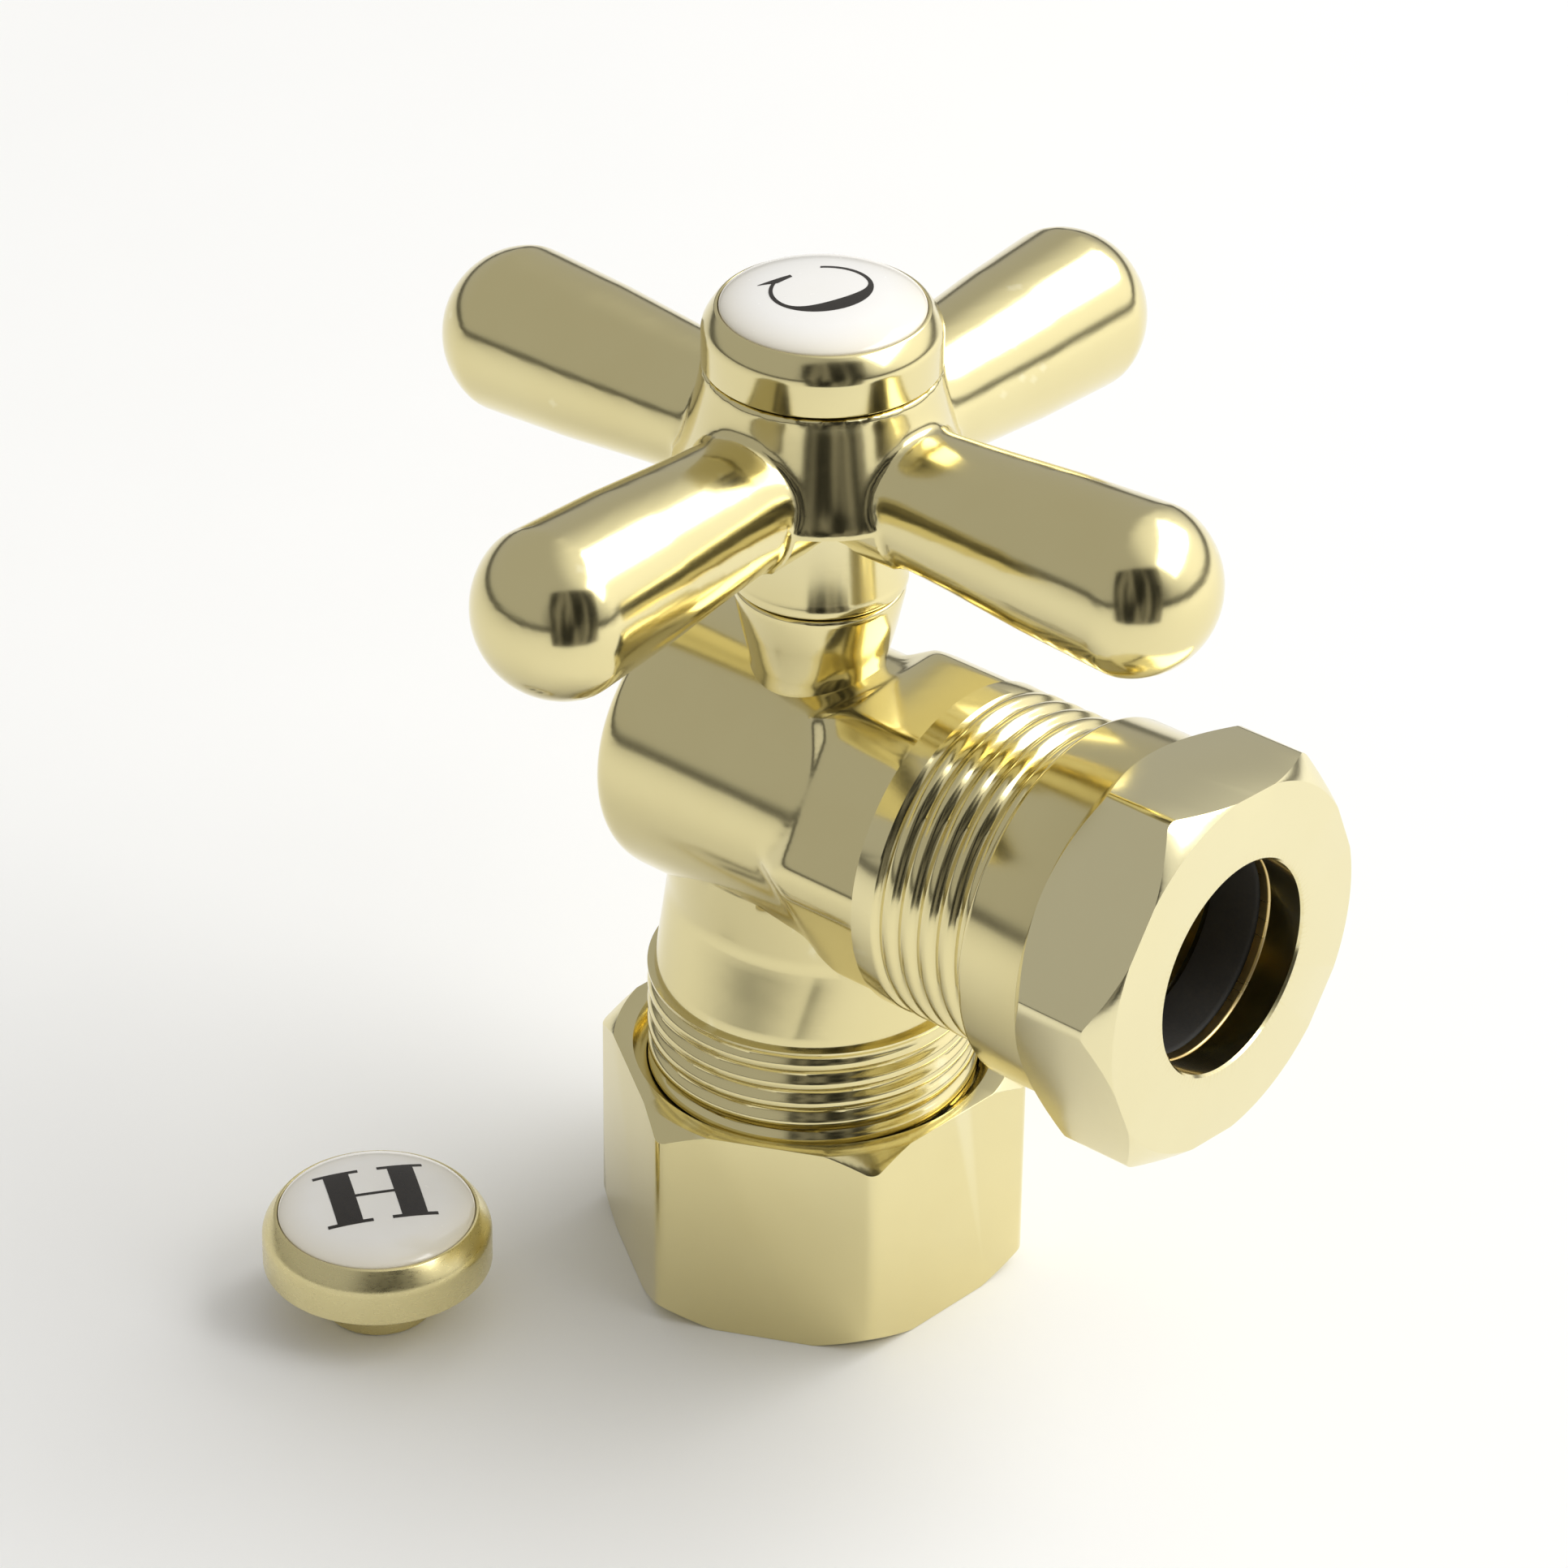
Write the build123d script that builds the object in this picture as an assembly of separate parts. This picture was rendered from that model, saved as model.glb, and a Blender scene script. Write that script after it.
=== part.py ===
from build123d import *
import os
from math import cos, radians, sin, sqrt

# Quarter-turn angle stop with a cross handle, in millimetres.
# Origin: on the inlet axis, in the flat underside of the inlet nut, which the valve stands on.
# +Z runs up the inlet and handle axis, +X runs out of the outlet.

# Fits
thread_clearance = 0.08      # radial, nut bore over thread crests
turning_clearance = 0.06     # radial, stem, ball and handle screw fits
loose_clearance = 0.10       # radial, rings and seats dropped into their bores
face_gap = 0.20              # between the handle's lower rim and the neck
screw_room = 0.40            # above the handle screw and above the stem
groove_slack = 0.12          # each side of an O-ring in its groove
seal_lift = 0.02             # between an O-ring and the bottom of its groove
end_play = 0.05              # between the ball's flat and the stem's collar

# Pipes that the valve joins
pipe_r = 7.94                # 5/8 in. supply tube
pipe_clearance = 0.11
pipe_hole_r = pipe_r + pipe_clearance
riser_r = 6.35               # 1/2 in. riser tube
riser_clearance = 0.30
riser_hole_r = riser_r + riser_clearance

# Inlet leg, ferrule and compression nut
leg_wall = 1.40
thread_depth = 0.87
inlet_leg_r = pipe_hole_r + leg_wall
inlet_thread_r = inlet_leg_r + thread_depth    # 13/16-18 crest radius
inlet_bore_r = inlet_thread_r + thread_clearance
inlet_nut_wall = 1.50
inlet_nut_flats = 2 * (inlet_bore_r + inlet_nut_wall)
inlet_nut_height = 14.5
inlet_nut_turn = -34.5       # angle of a corner from +X
inlet_flange = 3.0
inlet_nut_mouth = 0.84       # depth and width of the countersink at the nut's top
inlet_foot_margin = 0.40     # from the flats' circle to the lower chamfer
inlet_crown_margin = 0.55    # from the flats' circle to the upper chamfer
ferrule_wall = 1.15
ferrule_r = pipe_hole_r + ferrule_wall
ferrule_height = 6.2
ferrule_cone = 1.5
ferrule_cone_wall = 0.45
ferrule_grip = 2.6           # how far the ferrule enters the leg
pipe_socket_depth = 10.9
exposed_thread = 6.1         # thread that shows above the nut
waterway_r = 5.0

# Ball, seats and retainer
bore_step = 0.35             # from the nut's hole to the spigot's bore
chamber_r = riser_hole_r + bore_step
ball_room = 0.70
ball_r = chamber_r - ball_room
ball_port_r = 2.8
ball_flat_drop = 1.1         # from the ball's top to the flat on it
ball_flat = ball_r - ball_flat_drop
seat_lip = 0.8
seat_bore_r = ball_port_r + seat_lip
seat_overlap = 2.1           # how far a seat reaches over the ball
seat_back = 1.1              # seat behind the ball's pole
seat_inner_face = ball_r - seat_overlap
seat_outer_face = ball_r + seat_back
retainer_length = 5.0
retainer_key_wall = 0.9      # from the seat's bore to the key's flats
retainer_key_depth = 2.6
retainer_seal_section = 0.6
retainer_seal_offset = 1.6

# Barrel and outlet
outlet_height = 33.8
barrel_wall = 2.1
barrel_r = chamber_r + barrel_wall
barrel_back = 10.8           # blind end, behind the inlet axis
barrel_corner = 1.8
barrel_front = 11.7          # shoulder where the outlet thread starts
spigot_wall = 3.4
outlet_thread_r = chamber_r + spigot_wall
spigot_length = 13.3
thread_chamfer = 0.7
wrench_rise = 0.1            # of the wrench flats above the barrel
wrench_flats = 2 * (barrel_r + wrench_rise)
wrench_trim = 0.15           # wrench corners below the thread's crests
wrench_corner_r = outlet_thread_r - wrench_trim
wrench_length = 6.3
wrench_turn = 30.0

# Outlet nut, friction ring and washer
outlet_bore_r = outlet_thread_r + thread_clearance
outlet_nut_wall = 1.02
outlet_collar_r = outlet_bore_r + outlet_nut_wall
outlet_nut_flats = 2 * outlet_collar_r
outlet_face_margin = 0.15    # from the flats' circle to the chamfer on the face
outlet_nut_turn = 23.6       # angle of a corner from the +Y side
outlet_nut_start = 8.2       # from the shoulder to the nut's collar
outlet_collar = 4.4
outlet_hex = 7.2
outlet_flange = 2.3
washer_slack = 0.38          # radial, in the nut's bore
friction_ring_slack = 0.28
friction_ring_thickness = 0.7

# Stem, its packing and its stop
stem_r = 2.54
stem_bore_r = stem_r + turning_clearance
tang_width = 2.4
tang_length = 6.4
tang_depth = 1.6
stem_collar_width = 0.96
stem_collar_r = stem_r + stem_collar_width
stem_collar = 1.7
thrust_washer = 0.5
gland_room = 0.15            # above the thrust washer
gland_height = ball_flat + end_play + stem_collar + thrust_washer + gland_room
stem_seal_section = 0.42
stem_seal_heights = (2.1, 4.2)    # above the roof of the stem's pocket
square_relief = 0.09
stem_square = stem_r * sqrt(2) - square_relief
stem_hole_r = 1.25
stem_hole_depth = 6.5
stop_lug = 0.65
stop_lug_r = stem_collar_r + stop_lug
stop_lug_angle = 30.0
stop_slack_angle = 1.5
handle_travel = 90.0

# Neck
neck_rise = 5.1              # above the top of the barrel
neck_foot_wall = 1.55
neck_top_wall = 2.60
neck_root = 3.0

# Index buttons
button_stub_r = 3.5
button_stub = 3.8
button_r = 7.13
button_band = 2.2
button_height = 3.45
button_bevel = 0.88
button_crown_r = button_r - button_bevel
button_web = 1.2
button_seal_width = 1.9
button_seal_r = button_stub_r + button_seal_width
button_seal = 1.0
button_seal_recess = 0.7
crown_wall = 0.15
porcelain_r = button_crown_r - crown_wall
porcelain_dome = 1.05
spare_button_x = -15.4
spare_button_y = -23.6

# Cross handle
skirt_height = 5.6
skirt_wall = 0.8
skirt_flare = 0.35
hub_spigot_wall = 1.6
hub_spigot_r = stem_bore_r + hub_spigot_wall
skirt_top_r = hub_spigot_r + skirt_wall
skirt_rim_r = skirt_top_r + skirt_flare
spigot_recess = 0.8          # of the hub's spigot inside the skirt
hub_crease_step = 1.2
hub_crease_r = skirt_top_r + hub_crease_step
hub_belly = 1.2              # wider than the hub's top
hub_belly_rise = 2.6
hub_lip_width = 0.07
hub_top_r = button_r + hub_lip_width
hub_belly_r = hub_top_r + hub_belly
hub_height = 8.9             # above the skirt
hub_lip = 0.5
arm_rise = 2.6               # arm axis above the skirt
arm_end_r = 5.37
arm_neck_taper = 0.42
arm_root_taper = 1.17
arm_reach = 22.93            # from the handle axis to the centre of an arm's ball end
arm_count = 4

# Handle screw
screw_head_step = 0.6        # smaller than the button's stub
screw_head_r = button_stub_r - screw_head_step
screw_head = 1.6
screw_shank_r = stem_hole_r - turning_clearance
screw_length = 5.6
screw_slot = 0.7
screw_slot_depth = 0.6

# Heights and lengths that follow from the sizes above
leg_end = inlet_flange + ferrule_height - ferrule_grip
ferrule_top = inlet_flange + ferrule_height
thread_top = inlet_nut_height + exposed_thread
pipe_stop = leg_end + pipe_socket_depth
spigot_end = barrel_front + spigot_length
collar_start = barrel_front + outlet_nut_start
hex_start = collar_start + outlet_collar
outlet_face = hex_start + outlet_hex
friction_ring_back = outlet_face - outlet_flange - friction_ring_thickness
gland_roof = outlet_height + gland_height
neck_top = outlet_height + barrel_r + neck_rise
skirt_rim = neck_top + face_gap
hub_crease = skirt_rim + skirt_height
arm_height = hub_crease + arm_rise
hub_top = hub_crease + hub_height
button_base = hub_top + button_seal - button_seal_recess
web_top = button_base - button_stub - screw_room - screw_head
stem_top = web_top - screw_room
hub_bore_r = button_stub_r + turning_clearance
slope_30 = 0.577             # rise of a 30 degree chamfer per unit of width


def turned(points):
    """A solid turned about Z from (radius, height) points."""
    outline = Polyline(*[(r, 0, z) for r, z in points], close=True)
    return revolve(make_face(outline), Axis.Z)


def upright(radius, low, high):
    """A cylinder on the Z axis between two heights."""
    return Pos(0, 0, (low + high) / 2) * Cylinder(radius, high - low)


def outlet_ward(shape):
    """Turn a shape made about Z so that it lies on the outlet axis."""
    return Pos(0, 0, outlet_height) * Rot(0, 90, 0) * shape


def hexagon_bar(flats, low, high, turn):
    """A hexagonal bar on the Z axis with a corner at the given angle."""
    corner_r = flats / (2 * cos(radians(30)))
    return Pos(0, 0, low) * extrude(Rot(0, 0, turn) * RegularPolygon(corner_r, 6), high - low)


def torus_ring(ring_r, section_r, height):
    """An O-ring lying flat at a height."""
    return Pos(0, 0, height) * Torus(ring_r, section_r)


def stem_pocket_sector(radius, low, high, start, sweep):
    """A wedge of a disc about Z, from a start angle through a sweep."""
    outer = 3 * radius
    steps = [start + sweep * k / 4 for k in range(5)]
    corners = [(0, 0)] + [(outer * cos(radians(a)), outer * sin(radians(a))) for a in steps]
    wedge = extrude(make_face(Polyline(*corners, close=True)), high - low)
    return upright(radius, low, high) & (Pos(0, 0, low) * wedge)


def valve_body():
    """Brass casting: threaded inlet leg, barrel, wrench section, outlet spigot and neck."""
    leg = upright(inlet_leg_r, leg_end, outlet_height)
    thread = turned([
        (0, leg_end),
        (inlet_thread_r - thread_chamfer, leg_end),
        (inlet_thread_r, leg_end + thread_chamfer),
        (inlet_thread_r, thread_top),
        (0, thread_top),
    ])
    barrel = upright(barrel_r, -barrel_back, barrel_front)
    barrel = fillet(barrel.edges().sort_by(Axis.Z)[0], barrel_corner)
    wrench = hexagon_bar(wrench_flats, barrel_front - wrench_length, barrel_front, wrench_turn)
    wrench = wrench & upright(wrench_corner_r, barrel_front - wrench_length, barrel_front)
    spigot = turned([
        (0, barrel_front),
        (outlet_thread_r, barrel_front),
        (outlet_thread_r, spigot_end - thread_chamfer),
        (outlet_thread_r - thread_chamfer, spigot_end),
        (0, spigot_end),
    ])
    neck = turned([
        (0, neck_top - neck_rise - neck_root),
        (stem_bore_r + neck_foot_wall, neck_top - neck_rise - neck_root),
        (stem_bore_r + neck_foot_wall, neck_top - neck_rise),
        (stem_bore_r + neck_top_wall, neck_top),
        (0, neck_top),
    ])
    body = leg + thread + outlet_ward(barrel + wrench + spigot) + neck
    mouth_r = ferrule_r + loose_clearance
    mouth = turned([
        (0, leg_end - 1),
        (mouth_r, leg_end - 1),
        (mouth_r, ferrule_top - ferrule_cone + loose_clearance),
        (pipe_hole_r + ferrule_cone_wall + loose_clearance, ferrule_top + loose_clearance),
        (pipe_hole_r, ferrule_top + loose_clearance),
        (pipe_hole_r, pipe_stop),
        (waterway_r, pipe_stop),
        (waterway_r, outlet_height),
        (0, outlet_height),
    ])
    chamber = outlet_ward(upright(chamber_r, -seat_outer_face, spigot_end + 1))
    gland_r = stem_collar_r + loose_clearance
    gland = upright(gland_r, outlet_height, gland_roof)
    stem_bore = upright(stem_bore_r, outlet_height, neck_top + 1)
    stop_pocket = stem_pocket_sector(
        stop_lug_r + loose_clearance,
        outlet_height,
        outlet_height + ball_flat + end_play + stem_collar,
        90 - stop_lug_angle / 2 - stop_slack_angle - handle_travel,
        handle_travel + stop_lug_angle + 2 * stop_slack_angle,
    )
    return body - mouth - chamber - gland - stem_bore - stop_pocket


def chamfered_hex(flats, low, high, low_r, high_r, turn):
    """A hexagon with 30 degree turned chamfers; low_r and high_r are the circles on its faces."""
    corner_r = flats / (2 * cos(radians(30)))
    envelope_r = corner_r + 0.1
    low_rise = (envelope_r - low_r) * slope_30
    high_drop = (envelope_r - high_r) * slope_30
    envelope = turned([
        (0, low),
        (low_r, low),
        (envelope_r, low + low_rise),
        (envelope_r, high - high_drop),
        (high_r, high),
        (0, high),
    ])
    return hexagon_bar(flats, low, high, turn) & envelope


def inlet_nut():
    """Brass compression nut that squeezes the ferrule onto the supply tube."""
    flat_r = inlet_nut_flats / 2
    blank = chamfered_hex(
        inlet_nut_flats, 0, inlet_nut_height, flat_r + inlet_foot_margin,
        flat_r + inlet_crown_margin, inlet_nut_turn)
    bore = turned([
        (0, -1),
        (pipe_hole_r, -1),
        (pipe_hole_r, inlet_flange),
        (inlet_bore_r, inlet_flange),
        (inlet_bore_r, inlet_nut_height - inlet_nut_mouth),
        (inlet_bore_r + inlet_nut_mouth + 1, inlet_nut_height + 1),
        (0, inlet_nut_height + 1),
    ])
    return blank - bore


def inlet_ferrule():
    """Brass compression sleeve, coned at both ends."""
    low = inlet_flange
    high = ferrule_top
    return turned([
        (pipe_hole_r, low),
        (ferrule_r - 0.5, low),
        (ferrule_r, low + 0.5),
        (ferrule_r, high - ferrule_cone),
        (pipe_hole_r + ferrule_cone_wall, high),
        (pipe_hole_r, high),
    ])


def outlet_nut():
    """Brass slip-joint nut: a round collar behind a short hexagon."""
    collar = turned([
        (0, collar_start),
        (outlet_collar_r - 0.4, collar_start),
        (outlet_collar_r, collar_start + 0.4),
        (outlet_collar_r, hex_start + 0.5),
        (0, hex_start + 0.5),
    ])
    head = chamfered_hex(
        outlet_nut_flats, hex_start, outlet_face, outlet_collar_r,
        outlet_collar_r + outlet_face_margin, outlet_nut_turn)
    bore = upright(outlet_bore_r, collar_start - 1, outlet_face - outlet_flange)
    hole = upright(riser_hole_r, collar_start - 1, outlet_face + 1)
    return outlet_ward(collar + head - bore - hole)


def friction_ring():
    """Thin brass ring that lets the nut turn without dragging the washer."""
    low = friction_ring_back
    ring = upright(outlet_bore_r - friction_ring_slack, low, outlet_face - outlet_flange)
    return outlet_ward(ring - upright(riser_hole_r, low - 1, outlet_face))


def outlet_washer():
    """Rubber slip-joint washer between the spigot's end and the friction ring."""
    washer = upright(outlet_bore_r - washer_slack, spigot_end, friction_ring_back)
    return outlet_ward(washer - upright(riser_hole_r, spigot_end - 1, outlet_face))


def ball():
    """Chromed ball with an L-shaped waterway and a slot for the stem's tang."""
    port = upright(ball_port_r, -ball_r - 1, 0) + Sphere(ball_port_r)
    port += Rot(0, 90, 0) * upright(ball_port_r, 0, ball_r + 1)
    top = Pos(0, 0, ball_flat + 5) * Box(20, 20, 10)
    slot_height = tang_depth + 0.1
    slot = Pos(0, 0, ball_flat - slot_height / 2) * Box(
        20, tang_width + 2 * turning_clearance, slot_height)
    return Pos(0, 0, outlet_height) * (Sphere(ball_r) - port - top - slot)


def seat(side):
    """PTFE ring that the ball bears on; side is 1 at the outlet, -1 at the blind end."""
    ring = turned([
        (seat_bore_r, seat_inner_face),
        (chamber_r - loose_clearance, seat_inner_face),
        (chamber_r - loose_clearance, seat_outer_face),
        (seat_bore_r, seat_outer_face),
    ])
    ring = ring - Sphere(ball_r + turning_clearance)
    if side < 0:
        ring = Rot(180, 0, 0) * ring
    return outlet_ward(ring)


def retainer():
    """Brass ring screwed in behind the front seat, with a hexagonal key hole."""
    low = seat_outer_face
    high = low + retainer_length
    ring = upright(chamber_r - loose_clearance, low, high) - upright(seat_bore_r, low - 1, high + 1)
    key_flats = 2 * (seat_bore_r + retainer_key_wall)
    key = hexagon_bar(key_flats, high - retainer_key_depth, high + 1, 0)
    level = low + retainer_seal_offset
    width = retainer_seal_section + groove_slack
    groove = upright(chamber_r, level - width, level + width)
    groove -= upright(retainer_groove_r(), level - width - 1, level + width + 1)
    return outlet_ward(ring - key - groove)


def retainer_groove_r():
    """Radius at the bottom of the retainer's O-ring groove."""
    return chamber_r - loose_clearance - 2 * retainer_seal_section


def retainer_seal():
    """O-ring round the retainer."""
    ring_r = retainer_groove_r() + retainer_seal_section + seal_lift
    ring = torus_ring(ring_r, retainer_seal_section, seat_outer_face + retainer_seal_offset)
    return outlet_ward(ring)


def stem():
    """Brass stem, fitted from inside so that pressure cannot blow it out."""
    collar_low = outlet_height + ball_flat + end_play
    collar_high = collar_low + stem_collar
    shaft = upright(stem_collar_r, collar_low, collar_high)
    shaft += upright(stem_r, collar_high, skirt_rim)
    square = stem_top - skirt_rim
    shaft += Pos(0, 0, skirt_rim + square / 2) * Box(stem_square, stem_square, square)
    tang = Box(tang_length, tang_width, tang_depth)
    shaft += Pos(0, 0, collar_low - tang_depth / 2) * tang
    shaft += stem_pocket_sector(
        stop_lug_r, collar_low, collar_high - 2 * loose_clearance, 90 - stop_lug_angle / 2,
        stop_lug_angle)
    for height in stem_seal_heights:
        level = gland_roof + height
        width = stem_seal_section + groove_slack
        groove = upright(stem_r + 1, level - width, level + width)
        shaft -= groove - upright(stem_groove_r(), level - width - 1, level + width + 1)
    shaft -= upright(stem_hole_r, stem_top - stem_hole_depth, stem_top + 1)
    return shaft


def stem_groove_r():
    """Radius at the bottom of the stem's O-ring grooves."""
    return stem_r - 2 * stem_seal_section


def stem_seal(height):
    """One of the stem's two O-rings."""
    ring_r = stem_groove_r() + stem_seal_section + seal_lift
    return torus_ring(ring_r, stem_seal_section, gland_roof + height)


def stem_thrust_washer():
    """PTFE washer between the stem's collar and the roof of its pocket."""
    low = outlet_height + ball_flat + end_play + stem_collar
    ring = upright(stem_collar_r, low, low + thrust_washer)
    return ring - upright(stem_bore_r, low - 1, low + thrust_washer + 1)


def cross_handle():
    """Brass hub and four ball-ended arms, cast in one piece."""
    belly = hub_crease + hub_belly_rise
    spigot_low = skirt_rim + spigot_recess
    profile = Polyline((0, 0, spigot_low), (hub_spigot_r, 0, spigot_low),
                       (hub_spigot_r, 0, hub_crease), (hub_crease_r, 0, hub_crease))
    flank = Spline([(hub_crease_r, 0, hub_crease), (hub_belly_r, 0, belly),
                    (hub_top_r, 0, hub_top - hub_lip)])
    crown = Polyline((hub_top_r, 0, hub_top - hub_lip), (hub_top_r, 0, hub_top),
                     (0, 0, hub_top), (0, 0, spigot_low))
    handle = revolve(make_face([profile, flank, crown]), Axis.Z)
    under_hub = upright(hub_crease_r, skirt_rim, hub_crease)
    root_r = arm_end_r - arm_root_taper
    neck_r = arm_end_r - arm_neck_taper
    ball_neck = arm_reach - sqrt(arm_end_r ** 2 - neck_r ** 2)
    for k in range(arm_count):
        arm = turned([(0, 0), (root_r, 0), (root_r, hub_belly_r), (neck_r, ball_neck),
                      (0, ball_neck)])
        arm += Pos(0, 0, arm_reach) * Sphere(arm_end_r)
        arm = Rot(0, 0, 360 / arm_count * k) * (Pos(0, 0, arm_height) * (Rot(0, 90, 0) * arm))
        handle += arm - under_hub
    side = stem_square + 2 * turning_clearance
    socket = web_top - skirt_rim
    handle -= Pos(0, 0, skirt_rim + socket / 2) * Box(side, side, socket + 1)
    handle -= upright(hub_bore_r, web_top, hub_top + 1)
    recess_r = button_seal_r + loose_clearance
    return handle - upright(recess_r, hub_top - button_seal_recess, hub_top + 1)


def handle_skirt():
    """Brass sleeve under the hub that hides the stem."""
    bore_r = hub_spigot_r
    return turned([
        (bore_r, skirt_rim),
        (skirt_rim_r, skirt_rim),
        (skirt_top_r, hub_crease),
        (bore_r, hub_crease),
    ])


def handle_screw():
    """Slotted screw that clamps the handle to the stem."""
    low = web_top
    screw = upright(screw_head_r, low, low + screw_head)
    screw += upright(screw_shank_r, low - screw_length, low)
    slot = Box(20, screw_slot, 2 * screw_slot_depth)
    return screw - Pos(0, 0, low + screw_head) * slot


def button_rim():
    """Brass cup with a threaded stub; its base is the shoulder that meets the hub."""
    crown = button_height
    return turned([
        (0, -button_stub),
        (button_stub_r - 0.4, -button_stub),
        (button_stub_r, 0.4 - button_stub),
        (button_stub_r, 0),
        (button_r, 0),
        (button_r, button_band),
        (button_crown_r, crown),
        (porcelain_r + loose_clearance / 2, crown),
        (porcelain_r + loose_clearance / 2, button_web),
        (0, button_web),
    ])


def button_porcelain():
    """Glazed porcelain disc with a shallow dome."""
    crown = button_height
    dome_r = (porcelain_r ** 2 + porcelain_dome ** 2) / (2 * porcelain_dome)
    disc = upright(porcelain_r, button_web, crown + porcelain_dome + 1)
    return disc & (Pos(0, 0, crown + porcelain_dome - dome_r) * Sphere(dome_r))


def button_seal_ring():
    """Flat rubber washer that keeps the index button from working loose."""
    low = button_base - button_seal
    ring = upright(button_seal_r, low, button_base)
    return ring - upright(hub_bore_r, low - 1, button_base + 1)


on_hub = Pos(0, 0, button_base)
on_floor = Pos(spare_button_x, spare_button_y, button_stub)

pieces = {
    "valve_body": valve_body(),
    "inlet_nut": inlet_nut(),
    "inlet_ferrule": inlet_ferrule(),
    "outlet_nut": outlet_nut(),
    "outlet_friction_ring": friction_ring(),
    "outlet_washer": outlet_washer(),
    "ball": ball(),
    "front_seat": seat(1),
    "rear_seat": seat(-1),
    "seat_retainer": retainer(),
    "retainer_o_ring": retainer_seal(),
    "stem": stem(),
    "stem_o_ring_lower": stem_seal(stem_seal_heights[0]),
    "stem_o_ring_upper": stem_seal(stem_seal_heights[1]),
    "stem_thrust_washer": stem_thrust_washer(),
    "cross_handle": cross_handle(),
    "handle_skirt": handle_skirt(),
    "handle_screw": handle_screw(),
    "button_washer": button_seal_ring(),
    "cold_button_rim": on_hub * button_rim(),
    "cold_button_porcelain": on_hub * button_porcelain(),
    "spare_button_rim": on_floor * button_rim(),
    "spare_button_porcelain": on_floor * button_porcelain(),
}

os.makedirs("parts", exist_ok=True)
for name, shape in pieces.items():
    export_step(shape, "parts/" + name + ".step")
    print(name, round(shape.volume, 1), len(shape.solids()))
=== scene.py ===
from math import atan2, cos, pi, radians, sin, sqrt

import bmesh
import bpy
from mathutils import Matrix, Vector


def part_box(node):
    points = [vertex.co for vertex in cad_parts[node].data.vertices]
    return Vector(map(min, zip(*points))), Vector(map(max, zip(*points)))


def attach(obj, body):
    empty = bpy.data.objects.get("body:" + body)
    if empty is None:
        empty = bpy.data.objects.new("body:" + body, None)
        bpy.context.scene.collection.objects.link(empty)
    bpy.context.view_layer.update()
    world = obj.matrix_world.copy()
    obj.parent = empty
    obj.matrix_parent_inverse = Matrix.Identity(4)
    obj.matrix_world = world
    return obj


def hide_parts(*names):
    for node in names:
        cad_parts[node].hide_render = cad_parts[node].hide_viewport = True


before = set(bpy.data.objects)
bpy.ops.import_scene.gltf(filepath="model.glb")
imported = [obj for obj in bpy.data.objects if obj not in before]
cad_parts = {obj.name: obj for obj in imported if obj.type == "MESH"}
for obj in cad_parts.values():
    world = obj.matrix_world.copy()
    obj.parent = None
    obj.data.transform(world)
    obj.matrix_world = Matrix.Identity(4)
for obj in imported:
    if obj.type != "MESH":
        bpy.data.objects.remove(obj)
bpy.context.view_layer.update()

# --- Valve body ------------------------------------------------------------------------------
# One brass casting: inlet leg, barrel with a blind end, wrench section and stem neck, polished
# all over. The inlet leg and the outlet spigot are turned and threaded after casting, and the
# waterways are bored through it.

MM = 0.001


def box_mm(node):
    """Lowest and highest corner of a CAD node, in millimetres."""
    low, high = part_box(node)
    return [c / MM for c in low], [c / MM for c in high]


def only(piece):
    """Make one object the active and only selected one."""
    bpy.ops.object.select_all(action="DESELECT")
    piece.select_set(True)
    bpy.context.view_layer.objects.active = piece


def pick(piece, wanted):
    """In edit mode, select just the vertices that a test accepts."""
    mesh = bmesh.from_edit_mesh(piece.data)
    for v in mesh.verts:
        v.select = wanted(v.co)
    mesh.select_flush_mode()
    bmesh.update_edit_mesh(piece.data)


def turn(name, outline, rounds=(), steps=128, cuts=()):
    """Turn a closed part about Z from (radius, height) points in millimetres.

    rounds gives (point number, radius) for corners to round, and cuts gives (point number,
    count) for stretches to divide, before the outline is spun."""
    bpy.ops.object.select_all(action="DESELECT")
    bpy.ops.mesh.primitive_plane_add(size=1)
    piece = bpy.context.active_object
    piece.name = name
    piece.data.name = name
    bpy.ops.object.mode_set(mode="EDIT")
    bpy.ops.mesh.select_mode(type="VERT")
    bpy.ops.mesh.select_all(action="SELECT")
    bpy.ops.mesh.merge(type="CENTER")
    bpy.ops.transform.translate(value=(outline[0][0], 0, outline[0][1]))
    for (r0, z0), (r1, z1) in zip(outline, outline[1:]):
        bpy.ops.mesh.extrude_vertices_move(TRANSFORM_OT_translate={"value": (r1 - r0, 0, z1 - z0)})
    near = 1e-4
    for number, count in cuts:
        ends = outline[number], outline[number + 1]
        pick(piece, lambda co: any(abs(co.x - r) < near and abs(co.z - z) < near for r, z in ends))
        bpy.ops.mesh.subdivide(number_cuts=count)
    for number, radius in rounds:
        r, z = outline[number]
        pick(piece, lambda co: abs(co.x - r) < near and abs(co.z - z) < near)
        bpy.ops.mesh.bevel(offset=radius, segments=5, affect="VERTICES")
    bpy.ops.mesh.select_all(action="SELECT")
    bpy.ops.mesh.spin(steps=steps, angle=2 * pi, center=(0, 0, 0), axis=(0, 0, 1))
    bpy.ops.mesh.select_all(action="SELECT")
    bpy.ops.mesh.remove_doubles(threshold=0.001)
    bpy.ops.mesh.normals_make_consistent(inside=False)
    bpy.ops.object.mode_set(mode="OBJECT")
    return piece


def place(piece, location=(0, 0, 0), turned=(0, 0, 0)):
    """Turn a part by degrees about X, Y and Z, move it, and leave its origin where it was."""
    only(piece)
    piece.rotation_euler = [radians(a) for a in turned]
    piece.location = location
    bpy.ops.object.transform_apply(location=True, rotation=True, scale=True)


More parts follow.
